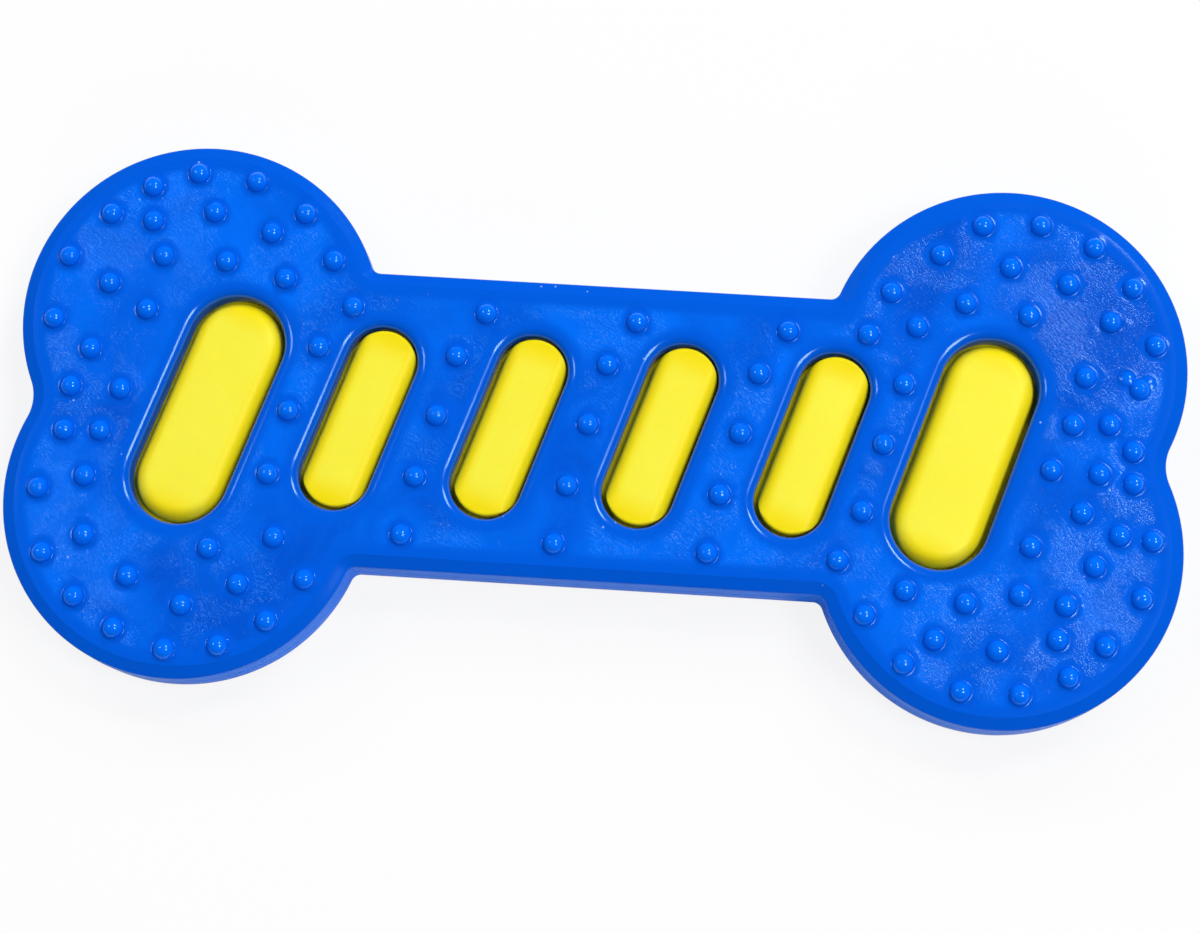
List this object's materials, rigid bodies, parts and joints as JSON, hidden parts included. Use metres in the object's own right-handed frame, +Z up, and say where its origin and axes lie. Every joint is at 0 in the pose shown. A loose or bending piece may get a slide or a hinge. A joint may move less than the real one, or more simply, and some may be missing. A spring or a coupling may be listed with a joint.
{
  "type": "rubber chew toy",
  "caption": "Flat bone-shaped rubber chew toy: bonded half shells covered in raised nubs trap soft yellow pads that show through slanted slots.",
  "frame": {"origin": "on the ground plane, under the middle of the bone's outline", "axes": "+X along the bone, +Y across it, +Z up through its thickness"},
  "size_m": [0.23, 0.107, 0.0164],
  "materials": {
    "blue_rubber": "moulded satin rubber with a fine etched grain between smooth rims",
    "yellow_rubber": "smooth moulded satin rubber"
  },
  "bodies": {
    "root": {"front_cover": "blue_rubber", "back_cover": "blue_rubber", "large_insert_left": "yellow_rubber", "small_insert_1": "yellow_rubber", "small_insert_2": "yellow_rubber", "small_insert_3": "yellow_rubber", "small_insert_4": "yellow_rubber", "large_insert_right": "yellow_rubber"}
  },
  "joints": []
}
